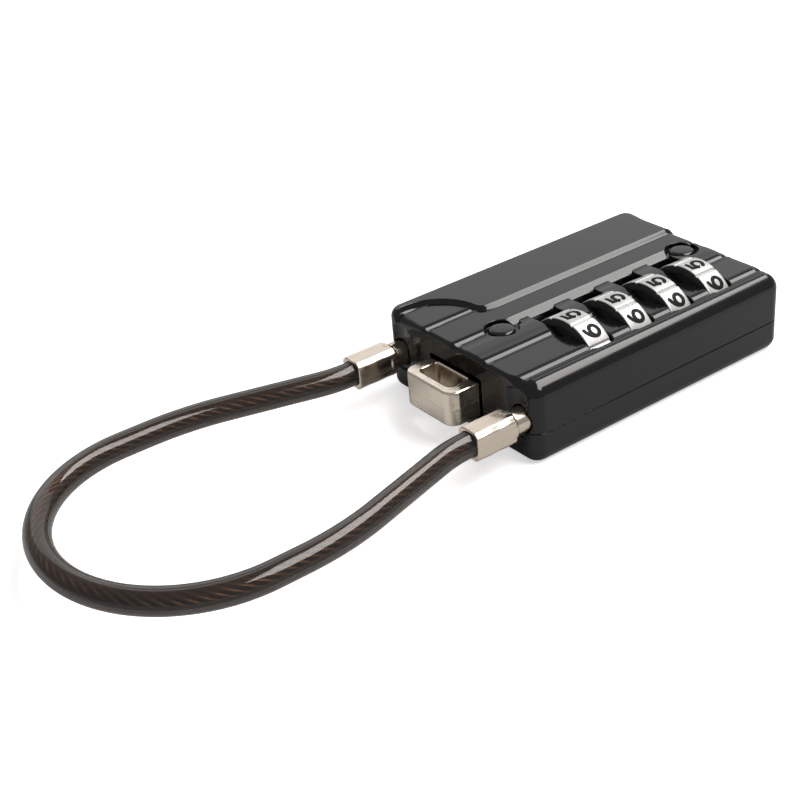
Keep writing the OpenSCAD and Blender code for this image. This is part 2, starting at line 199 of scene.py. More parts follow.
def net(shape, low, high, step):
    """A quad mesh of the surface: one point per crossed cell, one quad per crossed edge."""
    axes = [np.arange(low[i], high[i] + step, step) for i in range(3)]
    x, y, z = axes[0][:, None, None], axes[1][None, :, None], axes[2][None, None, :]
    values = np.array(np.broadcast_to(shape(x, y, z), [len(a) for a in axes]))
    inside = values < 0
    total = np.zeros([n - 1 for n in values.shape], np.int8)
    for a in (0, 1):
        for b in (0, 1):
            for c in (0, 1):
                total += inside[a:values.shape[0] - 1 + a, b:values.shape[1] - 1 + b,
                                c:values.shape[2] - 1 + c]
    crossed = (total > 0) & (total < 8)
    cells = np.argwhere(crossed)
    index = np.full(crossed.shape, -1, np.int64)
    index[crossed] = np.arange(len(cells))

    place = np.zeros((len(cells), 3))
    hits = np.zeros(len(cells))
    for axis in range(3):
        for a in (0, 1):
            for b in (0, 1):
                near = np.zeros(3, int)
                near[(axis + 1) % 3], near[(axis + 2) % 3] = a, b
                first = cells + near
                second = first.copy()
                second[:, axis] += 1
                v0, v1 = values[tuple(first.T)], values[tuple(second.T)]
                cut = (v0 < 0) != (v1 < 0)
                point = first[cut].astype(float)
                point[:, axis] += v0[cut] / (v0[cut] - v1[cut])
                place[cut] += point
                hits += cut
    points = np.array([a[0] for a in axes]) + step * place / hits[:, None]

    quads = []
    for axis in range(3):
        u, v = (axis + 1) % 3, (axis + 2) % 3
        low_cut = [slice(None)] * 3
        high_cut = [slice(None)] * 3
        low_cut[axis], high_cut[axis] = slice(0, -1), slice(1, None)
        start_in, end_in = inside[tuple(low_cut)], inside[tuple(high_cut)]
        edge = np.argwhere(start_in != end_in)
        edge = edge[(edge[:, u] > 0) & (edge[:, v] > 0)
                    & (edge[:, u] < values.shape[u] - 1) & (edge[:, v] < values.shape[v] - 1)]
        ring = []
        for du, dv in ((-1, -1), (0, -1), (0, 0), (-1, 0)):
            cell = edge.copy()
            cell[:, u] += du
            cell[:, v] += dv
            ring.append(index[tuple(cell.T)])
        ring = np.stack(ring, 1)
        outward = start_in[tuple(edge.T)]
        ring[~outward] = ring[~outward][:, ::-1]
        quads.append(ring)
    quads = np.concatenate(quads)

    for _ in range(2):
        away = np.zeros_like(points)
        count = np.zeros(len(points))
        for k in range(4):
            a, b = quads[:, k], quads[:, (k + 1) % 4]
            for axis in range(3):
                away[:, axis] += np.bincount(a, points[b, axis], len(points))
                away[:, axis] += np.bincount(b, points[a, axis], len(points))
            count += np.bincount(a, minlength=len(points)) + np.bincount(b, minlength=len(points))
        points = 0.5 * points + 0.5 * away / count[:, None]
        points = settle(shape, points, step, 2)
    return points, quads


def make_mesh(name, points, faces):
    mesh = bpy.data.meshes.new(name)
    mesh.from_pydata([tuple(p) for p in np.asarray(points) * MM], [], [list(map(int, f)) for f in faces])
    mesh.update()
    return mesh


def add_object(name, mesh, *looks):
    thing = bpy.data.objects.new(name, mesh)
    bpy.context.scene.collection.objects.link(thing)
    for look in looks:
        mesh.materials.append(look)
    return thing


def cast(name, shape, low, high, step, look, most_faces=190000):
    """A piece cut from a distance function, with normals taken from the function."""
    points, quads = net(shape, low, high, step)
    thing = add_object(name, make_mesh(name, points, quads), look)
    if 2 * len(quads) > most_faces:
        thin = thing.modifiers.new("thin", "DECIMATE")
        thin.ratio = most_faces / (2 * len(quads))
        view = bpy.context.evaluated_depsgraph_get()
        old = thing.data
        thing.data = bpy.data.meshes.new_from_object(thing.evaluated_get(view))
        thing.modifiers.clear()
        bpy.data.meshes.remove(old)
        thing.data.name = name
    mesh = thing.data
    place = np.zeros(len(mesh.vertices) * 3)
    mesh.vertices.foreach_get("co", place)
    place = place.reshape(-1, 3) / MM
    slope = gradient(shape, place, 0.05)
    slope /= np.maximum(np.linalg.norm(slope, axis=1), 1e-9)[:, None]
    mesh.shade_smooth()
    mesh.normals_split_custom_set_from_vertices([tuple(n) for n in slope])
    return thing


# ---------------------------------------------------------------- materials

def new_look(name):
    look = bpy.data.materials.new(name)
    look.use_nodes = True
    nodes, links = look.node_tree.nodes, look.node_tree.links
    return look, nodes, links, nodes["Principled BSDF"]


def noise(nodes, links, scale, detail=3, stretch=None):
    place = nodes.new("ShaderNodeTexCoord")
    texture = nodes.new("ShaderNodeTexNoise")
    texture.inputs["Scale"].default_value = scale
    texture.inputs["Detail"].default_value = detail
    if stretch:
        mapping = nodes.new("ShaderNodeMapping")
        mapping.inputs["Scale"].default_value = stretch
        links.new(place.outputs["Object"], mapping.inputs["Vector"])
        links.new(mapping.outputs["Vector"], texture.inputs["Vector"])
    else:
        links.new(place.outputs["Object"], texture.inputs["Vector"])
    return texture.outputs["Fac"]


def spread(nodes, links, value, low, high, start=0.3, end=0.7):
    scale = nodes.new("ShaderNodeMapRange")
    scale.inputs["From Min"].default_value = start
    scale.inputs["From Max"].default_value = end
    scale.inputs["To Min"].default_value = low
    scale.inputs["To Max"].default_value = high
    links.new(value, scale.inputs["Value"])
    return scale.outputs["Result"]


def mix(nodes, links, value, first, second):
    blend = nodes.new("ShaderNodeMix")
    blend.data_type = "RGBA"
    blend.inputs["A"].default_value = (*first, 1)
    blend.inputs["B"].default_value = (*second, 1)
    links.new(value, blend.inputs["Factor"])
    return blend.outputs["Result"]


def bump(nodes, links, value, shader, strength, distance):
    node = nodes.new("ShaderNodeBump")
    node.inputs["Strength"].default_value = strength
    node.inputs["Distance"].default_value = distance * MM
    links.new(value, node.inputs["Height"])
    links.new(node.outputs["Normal"], shader.inputs["Normal"])


def enamel():
    """Gloss black enamel on a casting: slight orange peel, small changes in gloss."""
    look, nodes, links, shader = new_look("black enamel")
    broad = noise(nodes, links, 90)
    fine = noise(nodes, links, 700, 2)
    links.new(mix(nodes, links, broad, (0.003, 0.003, 0.0032), (0.005, 0.005, 0.0052)),
              shader.inputs["Base Color"])
    links.new(spread(nodes, links, broad, 0.11, 0.17), shader.inputs["Roughness"])
    bump(nodes, links, fine, shader, 0.05, 0.02)
    return look


def metal(name, first, second, low, high, scale, stretch=None, strength=0.15):
    look, nodes, links, shader = new_look(name)
    broad = noise(nodes, links, scale, 4, stretch)
    fine = noise(nodes, links, scale * 6, 3, stretch)
    shader.inputs["Metallic"].default_value = 1
    links.new(mix(nodes, links, broad, first, second), shader.inputs["Base Color"])
    links.new(spread(nodes, links, fine, low, high), shader.inputs["Roughness"])
    bump(nodes, links, fine, shader, strength, 0.02)
    return look


def satin_silver():
    """The wheels' bands: white-silver paint, faintly brushed round the wheel."""
    look, nodes, links, shader = new_look("satin silver")
    grain = noise(nodes, links, 260, 3, (6, 1, 1))
    links.new(mix(nodes, links, grain, (0.46, 0.46, 0.45), (0.60, 0.595, 0.59)),
              shader.inputs["Base Color"])
    shader.inputs["Metallic"].default_value = 0.35
    links.new(spread(nodes, links, grain, 0.30, 0.42), shader.inputs["Roughness"])
    bump(nodes, links, grain, shader, 0.08, 0.02)
    return look


def black_paint(name, tone, rough, shine=0.5):
    look, nodes, links, shader = new_look(name)
    shader.inputs["Specular IOR Level"].default_value = shine
    grain = noise(nodes, links, 300)
    links.new(mix(nodes, links, grain, (tone, tone, tone), (tone * 1.5,) * 3),
              shader.inputs["Base Color"])
    links.new(spread(nodes, links, grain, rough, rough + 0.12), shader.inputs["Roughness"])
    bump(nodes, links, grain, shader, 0.1, 0.02)
    return look


def sheath():
    """Smoky see-through vinyl: gloss outside, dark enough to show the rope only faintly."""
    look, nodes, links, shader = new_look("smoky sheath")
    broad = noise(nodes, links, 120)
    links.new(mix(nodes, links, broad, (0.115, 0.098, 0.088), (0.145, 0.125, 0.11)),
              shader.inputs["Base Color"])
    shader.inputs["Transmission Weight"].default_value = 0.93
    shader.inputs["IOR"].default_value = 1.5
    links.new(spread(nodes, links, broad, 0.02, 0.05), shader.inputs["Roughness"])
    bump(nodes, links, broad, shader, 0.02, 0.02)

    # lamps light the rope straight through the sheath
    path = nodes.new("ShaderNodeLightPath")
    clear = nodes.new("ShaderNodeBsdfTransparent")
    clear.inputs["Color"].default_value = (0.80, 0.76, 0.72, 1)
    choose = nodes.new("ShaderNodeMixShader")
    links.new(path.outputs["Is Shadow Ray"], choose.inputs["Fac"])
    links.new(shader.outputs["BSDF"], choose.inputs[1])
    links.new(clear.outputs["BSDF"], choose.inputs[2])
    links.new(choose.outputs["Shader"], nodes["Material Output"].inputs["Surface"])
    return look


def rope_wire():
    """Bare copper-brown wire, each strand made of finer wires."""
    look, nodes, links, shader = new_look("rope wire")
    grain = noise(nodes, links, 900, 4)
    broad = noise(nodes, links, 220, 2)
    links.new(mix(nodes, links, broad, (0.50, 0.31, 0.21), (0.85, 0.60, 0.43)),
              shader.inputs["Base Color"])
    shader.inputs["Metallic"].default_value = 0.8
    links.new(spread(nodes, links, grain, 0.28, 0.5), shader.inputs["Roughness"])
    bump(nodes, links, grain, shader, 0.4, 0.05)
    return look


ENAMEL = enamel()
NICKEL = metal("warm nickel", (0.86, 0.75, 0.62), (0.95, 0.86, 0.74), 0.14, 0.28, 160)
FERRULE_NICKEL = metal("drawn nickel", (0.74, 0.63, 0.52), (0.88, 0.79, 0.68), 0.15, 0.32, 200,
                       (0.12, 1, 1), 0.3)
SILVER = satin_silver()
WHEEL_SIDE = black_paint("wheel side", 0.045, 0.3)
DIGIT = black_paint("digit enamel", 0.004, 0.5, 0.15)
BRASS = metal("machined brass", (0.70, 0.52, 0.24), (0.80, 0.62, 0.32), 0.2, 0.35, 300)
STEEL = metal("ground steel", (0.50, 0.50, 0.52), (0.64, 0.64, 0.66), 0.2, 0.4, 300, (0.2, 1, 1))
SPRING = metal("oiled spring steel", (0.34, 0.33, 0.33), (0.46, 0.45, 0.45), 0.25, 0.4, 400)
SHEATH = sheath()
ROPE = rope_wire()


# ---------------------------------------------------------------- the case

# the ribbed top: where each groove starts, and each strip's height above the first ones
STRIP_EDGES = (16.4, 9.0, 1.5, -6.0, -13.5)
STRIP_LEVELS = (0.06, 0.06, 0.06, 0.0, -0.14, -0.40)
GROOVE_W = 1.35
GROOVE_D = 0.45


def rib_line():
    """The ribbed top's height along Y: level strips parted by grooves that face the front."""
    ys, zs = [HALF_WIDTH + 2], [RIB + STRIP_LEVELS[0]]
    for k, edge in enumerate(STRIP_EDGES):
        high, low = RIB + STRIP_LEVELS[k], RIB + STRIP_LEVELS[k + 1]
        foot = edge - GROOVE_W
        ys += [edge, edge - 0.65, foot, foot - 0.14, foot - 0.62, foot - 0.76]
        zs += [high, high - 0.15, high - GROOVE_D, low + 0.05, low + 0.05, low]
    ys.append(-HALF_WIDTH - 2)
    zs.append(RIB + STRIP_LEVELS[-1])
    line = np.arange(-HALF_WIDTH - 2, HALF_WIDTH + 2, 0.02)
    rough = np.interp(line, ys[::-1], zs[::-1])
    kernel = np.exp(-0.5 * (np.arange(-12, 13) * 0.02 / 0.07) ** 2)
    return line, np.convolve(np.pad(rough, 12, "edge"), kernel / kernel.sum(), "valid")


RIB_LINE = rib_line()

# radii of the outline's corners, of the top and base edges, and of the bores
CORNER_R = 2.4
RIB_END_R, PANEL_END_R, FAR_END_R = 0.65, 1.2, 2.5
FRONT_R, BACK_R, BASE_R = 2.6, 1.8, 1.9
MOUTH_R, BORE_R, SHAFT_BORE_R = 2.35, 1.98, 1.72
LEAF_GAP = 0.675

# the round lobe, the front of the smooth panel, the slope behind the wheels, the pads and dishes
LOBE = (-25.5, 7.4)
LOBE_R = 8.75
PANEL_FRONT = 6.6
WIDE_TOP, WIDE_FOOT, WIDE_D = 1.5, 0.1, 0.78
PADS = [RIVET_X[0] + 3.3] + [wx + SLOT_HALF for wx in WHEEL_X]
DISH_REACH, DISH_Y = 4.25, -8.5
DISH_FALL, DISH_BACK, DISH_FRONT = 0.625, 0.535, 0.37


def top_height(x, y):
    """Height of the case's top surface before windows and holes are cut."""
    x, y = np.broadcast_arrays(x, y)
    ribs = np.interp(y, *RIB_LINE)
    flare = 0.45 * ramp(-x, HALF_LENGTH - 5, HALF_LENGTH - 0.5)
    ribs = np.minimum(ribs, np.interp(y + flare, *RIB_LINE))
    ribs = ribs + 0.1 * np.exp(-((y + 3.4) / 1.6) ** 4)

    # the wide slope behind the wheels, and the pads that stand in front of it
    between = ramp(x, RIVET_X[0] + 2.2, RIVET_X[0] + 2.9) * ramp(-x, -RIVET_X[1] + 1.6, -RIVET_X[1] + 2.3)
    t = np.clip((WIDE_TOP - y) / (WIDE_TOP - WIDE_FOOT), 0, 1)
    wide = RIB + STRIP_LEVELS[2] - WIDE_D * t
    left = np.full_like(x, -99.0)
    for start in PADS:
        left = np.where(x > start - SLOT_HALF, start, left)
    pad = np.minimum(rmax(y + 0.05, left - x, 0.8), y + 1.2)
    padded = wide + (ribs - wide) * ramp(-pad, 0.0, 0.22) * (y < WIDE_FOOT + 0.3)
    wide = np.where(y < WIDE_TOP, padded, ribs)
    ribs = ribs + (wide - ribs) * between

    # the smooth panel, with the round lobe cut out of it near the cable end
    centre = np.hypot(x - LOBE[0], y - LOBE[1])
    edge = rmax(PANEL_FRONT - y, LOBE_R - centre, 1.3)
    width = 0.6 + 0.7 * ramp(x, -17, -13.5)
    height = ribs + (PANEL - ribs) * (1 - ramp(edge, 0, width))
    height = height + 0.05 * np.exp(-((edge - 0.02) / 0.16) ** 2) * ramp(x, -30, -20)

    # the finger dishes on both sides of each wheel
    for wx in WHEEL_X:
        for side in (-1, 1):
            u = -side * (x - wx - side * DISH_REACH)
            v = y - DISH_Y
            dish = RIB - DISH_FALL * u + np.hypot(np.maximum(DISH_BACK * v, -DISH_FRONT * v), 0.12)
            dish = np.where((u > -0.5) & (u < 3.4), dish, 99.0)
            height = -rmax(-height, -dish, 0.12)
    return height


def case_body(x, y, z):
    """The solid outer form; the radius of its top edge changes round the outline."""
    side = plan_box(x, y, (-HALF_LENGTH, -HALF_WIDTH), (HALF_LENGTH, HALF_WIDTH), CORNER_R, CORNER_R)
    near = RIB_END_R + (PANEL_END_R - RIB_END_R) * ramp(y, 8, 14)
    ends = near + (FAR_END_R - near) * ramp(x, -10, 10)
    fillet = ends + (FRONT_R - ends) * ramp(-y, 12, 17) + (BACK_R - ends) * ramp(y, 12, 17)
    body = rmax(side, z - top_height(x, y), fillet)
    return rmax(body, -z, BASE_R)


def case_rooms(x, y, z, low, high):
    """The hollow rooms inside the case."""
    inner = HALF_LENGTH - WALL
    rooms = [((-inner, -12), (-13.3, 12)), ((-21.4, -16.6), (-13.3, -11)),
             ((-18.8, 1), (inner, HALF_WIDTH - WALL)), ((20.7, -11.4), (inner, -5))]
    found = [block(x, y, z, (*a, low), (*b, high), 0.1) for a, b in rooms]
    return np.minimum.reduce(np.broadcast_arrays(*found))


def wheel_openings(x, y, z, with_windows):
    found = 99.0
    for wx in WHEEL_X:
        across = np.abs(x - wx) - SLOT_HALF
        round_cut = rmax(np.hypot(y - AXIS_Y, z - AXIS_Z) - SLOT_R, across, 0.05)
        found = np.minimum(found, round_cut)
        if with_windows:
            front = plan_box(x, y, (wx - SLOT_HALF, WINDOW[0]), (wx + SLOT_HALF, -1), 1.2, 1.2)
            back = plan_box(x, y, (wx - SLOT_HALF, -12), (wx + SLOT_HALF, WINDOW[1]), 0.3, 0.3)
            plan = np.where(y < WINDOW_MIDDLE, front, back)
            found = np.minimum(found, rmax(plan, ROOF - z, 0.1))
    return found


def end_holes(x, y, z):
    """Openings in the cable end: eye slot, plug and anchor bores, scoops over the sleeves."""
    found = block(x, y, z, (-HALF_LENGTH - 1, EYE_Y - 6.3, 3.0),
                  (-HALF_LENGTH + WALL + 1, EYE_Y + 6.5, 10.4), 0.5)
    for side in (-1, 1):
        centre = (side * END_Y, END_Z)
        found = np.minimum(found, rod_x(x, y, z, centre, -HALF_LENGTH - 1, -25, MOUTH_R))
        stop = -13.2 if side < 0 else -19.5
        found = np.minimum(found, rod_x(x, y, z, centre, -26, stop, BORE_R))
        across = y - side * 14.5
        hollow = np.hypot(x + HALF_LENGTH + 4.55, across) - 5.1
        tall = z - 12.4 + 0.12 * across ** 2
        found = np.minimum(found, rmax(rmax(hollow, tall, 0.3), END_Z - 3.0 - z, 0.3))
    flange = rod_x(x, y, z, (END_Y, END_Z), -22.1, -20.8, 2.8)
    return np.minimum(found, flange)


def spindle_bore(x, y, z):
    found = rod_x(x, y, z, (AXIS_Y, AXIS_Z), -14, 21, SHAFT_BORE_R)
    for wx in WHEEL_X:
        found = np.minimum(found, rod_x(x, y, z, (AXIS_Y, AXIS_Z), wx, wx + HUB_END + 0.3, 4.5))
    return found


def rivet_cuts(x, y, z):
    found = 99.0
    for rx in RIVET_X:
        centre = (rx, RIVET_Y)
        found = np.minimum(found, post_z(x, y, z, centre, -1, 30, SHANK_R + 0.05))
        found = np.minimum(found, post_z(x, y, z, centre, RIB - RING_DEPTH, 30, RING_R))
        found = np.minimum(found, post_z(x, y, z, centre, -1, 0.95, 2.35))
    return found


def rivet_tubes(x, y, z, low, high):
    found = 99.0
    for rx in RIVET_X:
        found = np.minimum(found, post_z(x, y, z, (rx, RIVET_Y), low, high, TUBE_R))
    return found


def anchor_block(x, y, z, low, high):
    return block(x, y, z, (-25.6, 11.6, low), (-19.4, 16.6, high), 0.1)


def upper_shape(x, y, z):
    shape = rmax(case_body(x, y, z), SPLIT - z, 0.22)
    shape = np.maximum(shape, -case_rooms(x, y, z, SPLIT - 3, ROOF))
    tubes = rivet_tubes(x, y, z, SPLIT, ROOF + 0.3)
    inner = np.minimum(tubes, anchor_block(x, y, z, SPLIT, ROOF + 0.3))
    shape = np.minimum(shape, inner)
    shape = rmax(shape, -wheel_openings(x, y, z, True), 0.16)
    shape = rmax(shape, -rivet_cuts(x, y, z), 0.14)
    shape = rmax(shape, -end_holes(x, y, z), 0.18)
    shape = np.maximum(shape, -spindle_bore(x, y, z))
    channel = block(x, y, z, (-25.8, END_Y - BORE_R, 3), (-19.5, END_Y + BORE_R, END_Z), 0.05)
    return np.maximum(shape, -channel)


def lower_shape(x, y, z):
    shape = rmax(case_body(x, y, z), z - SPLIT, 0.22)
    shape = np.maximum(shape, -case_rooms(x, y, z, FLOOR, SPLIT + 3))
    tubes = rivet_tubes(x, y, z, FLOOR - 0.3, SPLIT)
    inner = np.minimum(tubes, anchor_block(x, y, z, FLOOR - 0.3, SPLIT))
    boss = post_z(x, y, z, PIVOT, FLOOR - 0.3, pawl_low[2] - 0.06, 1.7)
    shape = np.minimum(np.minimum(shape, inner), boss)
    shape = rmax(shape, -wheel_openings(x, y, z, False), 0.16)
    shape = rmax(shape, -rivet_cuts(x, y, z), 0.14)
    shape = rmax(shape, -end_holes(x, y, z), 0.18)
    shape = np.maximum(shape, -spindle_bore(x, y, z))
    for wx in WHEEL_X:
        middle = wx + WHEEL_HALF + LEAF_GAP
        channel = block(x, y, z, (middle - 0.8, -12, FLOOR), (middle + 0.8, 3, 30), 0.1)
        shape = np.maximum(shape, -channel)
    return np.maximum(shape, -post_z(x, y, z, PIVOT, FLOOR - 0.5, 30, 0.8))


def build_case():
    reach = np.array([HALF_LENGTH + 0.6, HALF_WIDTH + 0.6])
    top = cast("case_top", upper_shape, (*-reach, SPLIT - 0.5), (*reach, PANEL + 0.5), 0.17, ENAMEL)
    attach(top, "case")
    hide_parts("upper_case")
    base = cast("case_base", lower_shape, (*-reach, -0.5), (*reach, SPLIT + 0.5), 0.22, ENAMEL)
    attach(base, "case")
    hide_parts("lower_case")


# ---------------------------------------------------------------- turned pieces

def tube_faces(rows, sides):
    """Quads between the rings of a tube whose points are stored ring by ring."""
    faces = []
    for i in range(rows - 1):
        for j in range(sides):
            k = (j + 1) % sides
            near, far = i * sides, (i + 1) * sides
            faces.append((near + j, near + k, far + k, far + j))
    return faces


def lathe(profile, segments, offset=None):
    """Spins (along, radius) points about an axis. Returns along, radius, angle and the quads."""
    count = len(profile)
    angle = np.arange(segments) * 2 * math.pi / segments
    along = np.tile(np.array([p[0] for p in profile])[:, None], (1, segments))
    radius = np.tile(np.array([p[1] for p in profile])[:, None], (1, segments))
    if offset is not None:
        radius = radius - offset(radius, angle[None, :])
    turn = np.tile(angle[None, :], (count, 1))
    return along.ravel(), radius.ravel(), turn.ravel(), tube_faces(count, segments)


def round_corner(a, b, c, r, steps=4):
    """Points that round the corner b between a and c."""
    a, b, c = map(np.array, (a, b, c))
    ta, tc = (a - b) / np.linalg.norm(a - b), (c - b) / np.linalg.norm(c - b)
    return [tuple(b + r * (ta * (1 - t) ** 2 + tc * t ** 2)) for t in np.linspace(0, 1, steps + 1)]


def smooth_by_angle(thing, degrees=35):
    mesh = thing.data
    mesh.shade_smooth()
    mesh.set_sharp_from_angle(angle=math.radians(degrees))


def build_rivets():
    points, faces = [], []
    for rx in RIVET_X:
        head = RIB - RING_DEPTH
        dome = [(rivet_high[2] - 0.055 * (r / 1.9) ** 2, r) for r in (0, 0.6, 1.2, 1.7)]
        profile = [(dome[0][0], 0.0)] + dome[1:] + [
            (head + 0.70, 2.0), (head + 0.58, 2.13), (head + 0.4, 2.19), (head + 0.25, RIVET_R),
            (head, RIVET_R), (head, SHANK_R), (0.95, SHANK_R), (0.95, 2.0), (0.9, 2.1), (0.4, 2.1),
            (0.25, 1.95), (0.25, 0.0)]
        along, radius, turn, quads = lathe(profile, 64)
        start = sum(len(p) for p in points)
        points.append(np.stack([rx + radius * np.cos(turn), RIVET_Y - radius * np.sin(turn), along], 1))
        faces += [tuple(start + v for v in q) for q in quads]
    thing = add_object("rivets", make_mesh("rivets", np.concatenate(points), faces), ENAMEL)
    tidy(thing)
    smooth_by_angle(thing)
    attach(thing, "case")
    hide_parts("case_rivets")


def tidy(thing):
    """Merges doubled points, drops faces with no area and turns all faces outwards."""
    work = bmesh.new()
    work.from_mesh(thing.data)
    bmesh.ops.remove_doubles(work, verts=work.verts, dist=1e-6)
    bmesh.ops.dissolve_degenerate(work, edges=work.edges, dist=1e-7)
    bmesh.ops.recalc_face_normals(work, faces=work.faces)
    work.to_mesh(thing.data)
    work.free()


# ---------------------------------------------------------------- number wheels

# size of a number, height and depth of its strokes, the notches between numbers, degrees a number
DIGIT_W, DIGIT_H, STROKE = 2.0, 2.5, 0.66
DIGIT_LIFT, DIGIT_ROOT = 0.03, 0.08
SEAM_D, SEAM_W = 0.22, 0.38
STEP = 36
TOP_NUMBER = 5


def arc(cx, cy, rx, ry, start, end, count=18):
    turn = np.radians(np.linspace(start, end, count))
    return [(cx + rx * math.cos(a), cy + ry * math.sin(a)) for a in turn]


def digit_strokes(number):
    """The number's centre lines in a unit box, u to the right and v up."""
    six = [arc(0.5, 0.31, 0.5, 0.31, 90, 450, 30), arc(0.98, 0.33, 0.98, 0.67, 182, 102, 16)]
    return {
        0: [arc(0.5, 0.5, 0.48, 0.5, 90, 450, 36)],
        1: [[(0.2, 0.78), (0.55, 1), (0.55, 0)]],
        2: [arc(0.5, 0.7, 0.46, 0.3, 165, -35) + [(0.02, 0), (1, 0)]],
        3: [arc(0.46, 0.75, 0.42, 0.25, 150, -88), arc(0.46, 0.26, 0.5, 0.26, 92, -150)],
        4: [[(0.72, 0), (0.72, 1), (0, 0.3), (1, 0.3)]],
        5: [[(0.92, 1), (0.18, 1), (0.1, 0.53)] + arc(0.47, 0.33, 0.5, 0.33, 140, -150)],
        6: six,
        7: [[(0, 1), (0.98, 1), (0.36, 0)]],
        8: [arc(0.5, 0.76, 0.4, 0.24, 90, 450, 26), arc(0.5, 0.26, 0.5, 0.26, 90, 450, 30)],
        9: [[(1 - u, 1 - v) for u, v in stroke] for stroke in six],
    }[number]


def fine_line(line, longest):
    """The same line with points added so that no part is longer than longest."""
    out = [line[0]]
    for a, b in zip(line[:-1], line[1:]):
        count = max(1, math.ceil(np.linalg.norm(b - a) / longest))
        out += [a + (b - a) * k / count for k in range(1, count + 1)]
    return np.array(out)


def ribbon(line, width):
    """A closed outline of even width round a centre line, with round ends."""
    line = np.array(line)
    closed = np.allclose(line[0], line[-1])
    ahead = np.diff(line, axis=0)
    ahead /= np.linalg.norm(ahead, axis=1)[:, None]
    before = np.vstack([ahead[-1:] if closed else ahead[:1], ahead])
    after = np.vstack([ahead, ahead[:1] if closed else ahead[-1:]])
    bisect = before + after
    bisect /= np.linalg.norm(bisect, axis=1)[:, None]
    normal = np.stack([-bisect[:, 1], bisect[:, 0]], 1)
    stretch = 1 / np.maximum((bisect * after).sum(1), 0.6)
    left = line + normal * (stretch * width / 2)[:, None]
    right = line - normal * (stretch * width / 2)[:, None]
    return left, right, closed


def add_digit(points, faces, number, place):
    """Adds a number's raised strokes. place maps (u, v, lift) to a point."""
    size = np.array([DIGIT_W, DIGIT_H])
    for stroke in digit_strokes(number):
        line = fine_line((np.array(stroke) - 0.5) * size, 0.2)
        left, right, closed = ribbon(line, STROKE)
        start = len(points)
        count = len(line)
        for lift in (DIGIT_LIFT, -DIGIT_ROOT):
            for side in (left, right):
                points += [place(u, v, lift) for u, v in side]
        top_l, top_r, low_l, low_r = (start + k * count for k in range(4))
        for i in range(count - 1):
            j = i + 1
            faces += [(top_l + i, top_r + i, top_r + j, top_l + j),
                      (low_l + j, low_r + j, low_r + i, low_l + i),
                      (low_l + i, top_l + i, top_l + j, low_l + j),
                      (top_r + i, low_r + i, low_r + j, top_r + j)]
        if closed:
            continue
        last = count - 1
        faces += [(top_l, low_l, low_r, top_r), (top_r + last, low_r + last, low_l + last, top_l + last)]
        for centre in (line[0], line[-1]):
            base = len(points)
            turns = np.linspace(0, 2 * math.pi, 13)[:-1]
            for lift in (DIGIT_LIFT - 0.002, -DIGIT_ROOT):
                points += [place(centre[0] + STROKE / 2 * math.cos(a),
                                 centre[1] + STROKE / 2 * math.sin(a), lift) for a in turns]
            faces.append(tuple(base + k for k in range(12)))
            faces.append(tuple(base + 23 - k for k in range(12)))
            for k in range(12):
                m = (k + 1) % 12
                faces.append((base + m, base + k, base + 12 + k, base + 12 + m))


def build_wheel(i):
    wx = WHEEL_X[i]
    half = WHEEL_HALF
    rim = round_corner((-half, 7.0), (-half, WHEEL_R), (0, WHEEL_R), 0.22)
    profile = [(-half + 0.5, 4.74), (-half + 0.5, 6.3)]
    profile += round_corner((-half + 0.5, 6.3), (-half, 6.4), (-half, 7.0), 0.12, 2) + rim
    profile += [(x, WHEEL_R) for x in np.linspace(-half + 0.5, half - 0.5, 5)]
    profile += [(-x, r) for x, r in reversed(rim)] + [(half, 6.5), (half - 0.1, 6.38), (half - 0.5, 6.3)]
    profile += [(half - 0.5, 4.74), (-half + 0.5, 4.74)]

    def seams(radius, angle):
        """Depth of the notches between the numbers."""
        from_seam = (np.degrees(angle) - TURN[i] - STEP / 2) % STEP
        from_seam = np.minimum(from_seam, STEP - from_seam)
        away = np.radians(from_seam) * WHEEL_R
        notch = SEAM_D * np.clip(1 - away / SEAM_W, 0, 1)
        return notch * ramp(radius, 7.2, 7.6)

    segments = 720
    along, radius, turn, faces = lathe(profile, segments, seams)
    points = np.stack([wx + along, AXIS_Y - radius * np.sin(turn), AXIS_Z + radius * np.cos(turn)], 1)
    thing = add_object(f"wheel_{i + 1}", make_mesh("wheel", points, faces), SILVER, WHEEL_SIDE)
    first = len(profile) - 4 - 2 * len(rim) - 6
    band = range(first + 1, first + 2 * len(rim) + 4)
    side = [0 if k // segments in band else 1 for k in range(len(faces))]
    thing.data.polygons.foreach_set("material_index", side)
    tidy(thing)
    smooth_by_angle(thing, 28)
    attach(thing, f"wheel_{i + 1}")
    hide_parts(f"number_wheel_{i + 1}")

    marks, mark_faces = [], []
    for number in range(10):
        middle = math.radians(TURN[i] + (number - TOP_NUMBER) * STEP)

        def place(u, v, lift):
            angle = middle - u / WHEEL_R
            reach = WHEEL_R + lift
            return (wx - v, AXIS_Y - reach * math.sin(angle), AXIS_Z + reach * math.cos(angle))

        add_digit(marks, mark_faces, number, place)
    digits = add_object(f"wheel_{i + 1}_numbers", make_mesh("numbers", marks, mark_faces), DIGIT)
    smooth_by_angle(digits)
    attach(digits, f"wheel_{i + 1}")


# ---------------------------------------------------------------- slider with its eye

# the eye's half width outside and inside, its end wall, and the arm that carries the spindle
EYE_HALF, HOLE_HALF, EYE_WALL = 6.1, 3.9, 1.7
TONGUE_Z, TONGUE_HALF, TONGUE_END = (5.8, 8.2), 4.2, -16.4
YOKE_X, YOKE_R, YOKE_BORE_R = (-20, -17.2), 2.5, 1.6
PIN_X, PIN_R = -18.6, 0.5


